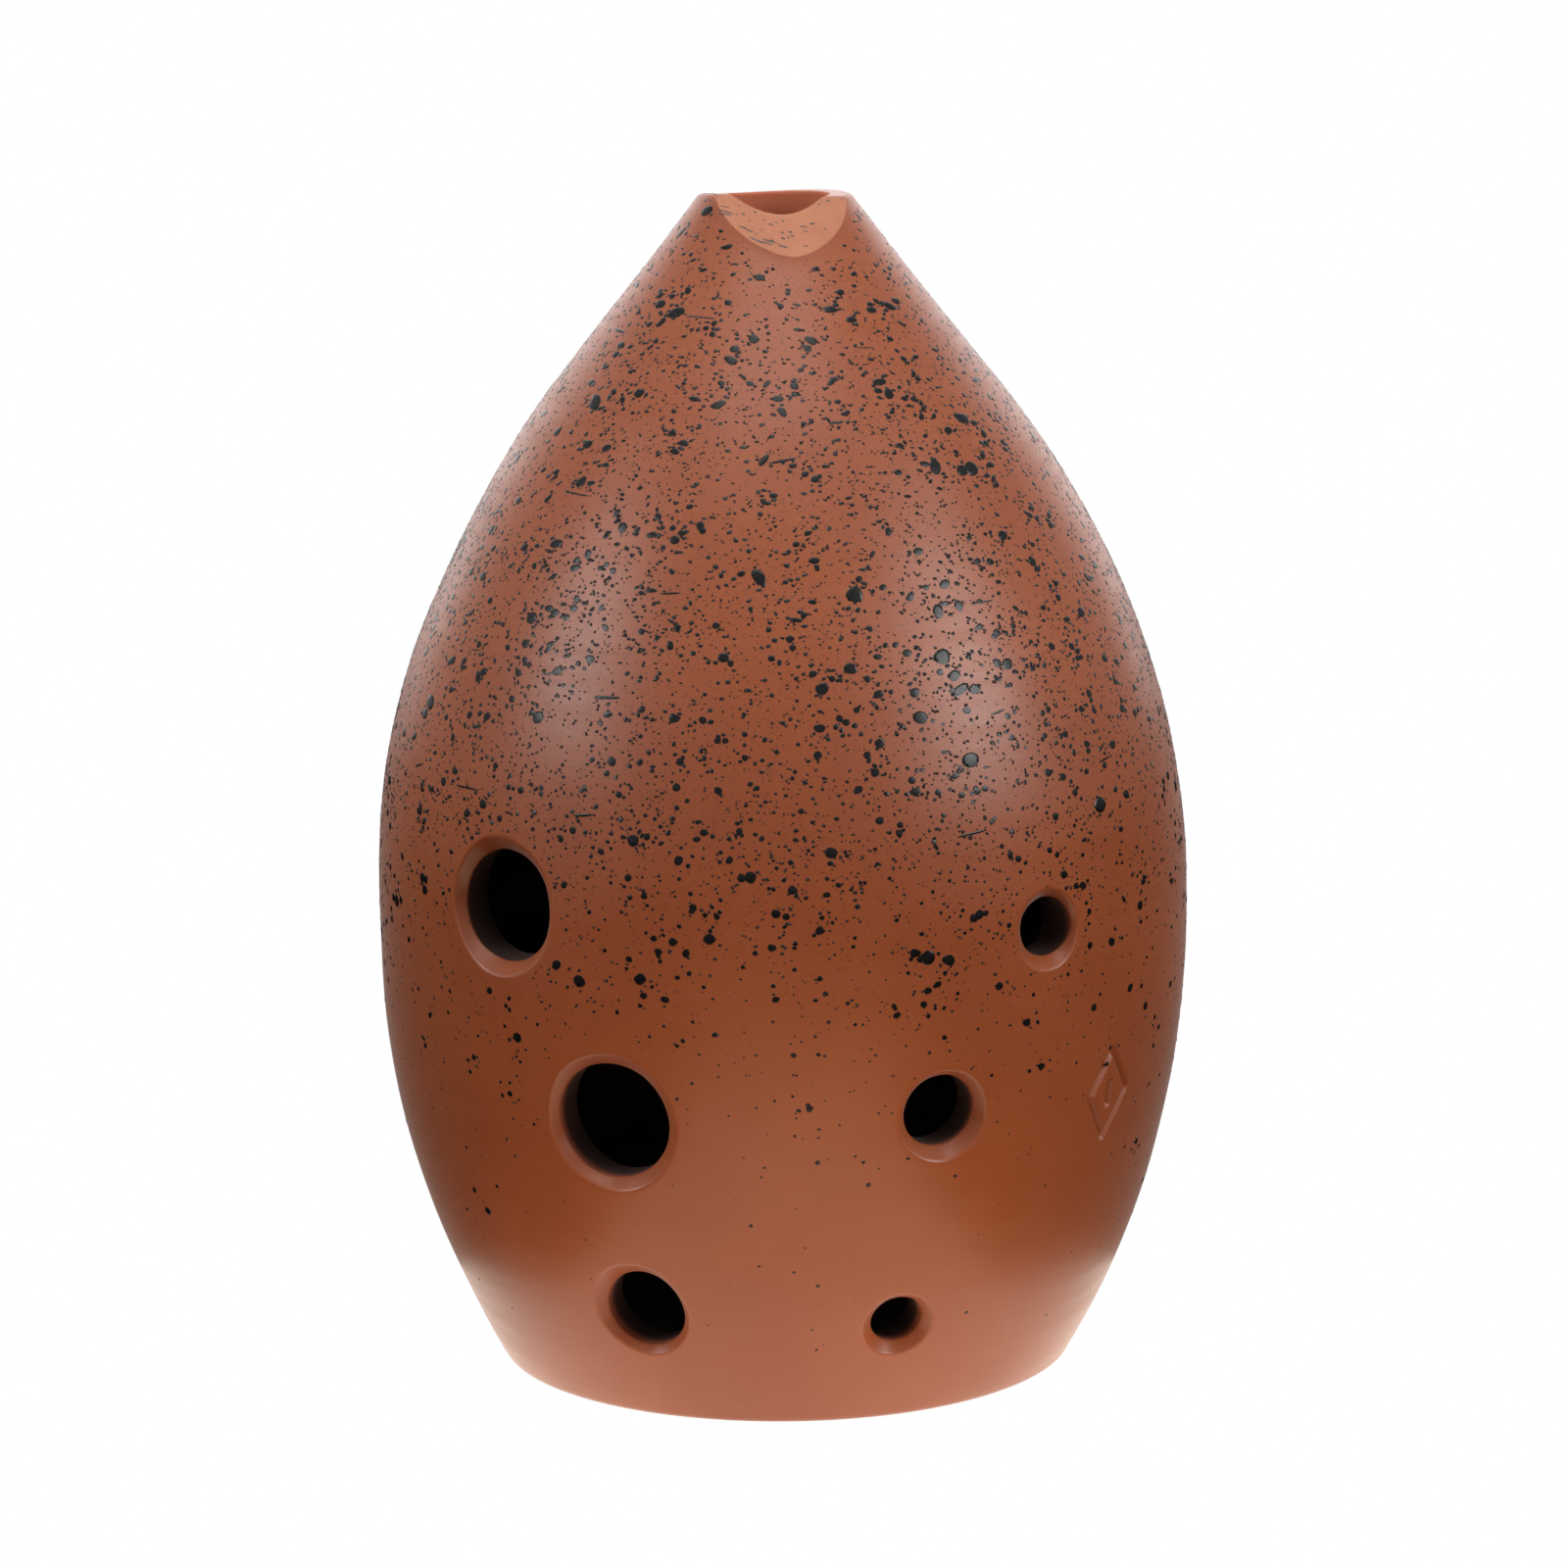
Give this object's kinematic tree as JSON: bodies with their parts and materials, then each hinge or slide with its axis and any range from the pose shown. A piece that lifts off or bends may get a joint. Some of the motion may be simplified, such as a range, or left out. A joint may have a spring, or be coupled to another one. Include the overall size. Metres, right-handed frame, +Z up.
{
  "type": "vessel flute",
  "caption": "Egg-shaped clay vessel flute, blown across a notch cut in its top rim, with finger holes in front, thumb holes behind and a flat foot.",
  "frame": {"origin": "centre of the flat foot, on the surface that the flute stands on", "axes": "+Z up along the axis that the bowls are thrown about; the blowing notch and the six finger holes face -Y"},
  "size_m": [0.09, 0.09, 0.13],
  "materials": {
    "burnished_clay": "satin",
    "raw_clay": "matte",
    "oxide_spatter": "satin"
  },
  "bodies": {
    "root": {"upper_shell": "burnished_clay", "lower_shell": "burnished_clay", "base_disc": "burnished_clay", "seam_coil": "raw_clay", "base_coil": "raw_clay"}
  },
  "joints": []
}
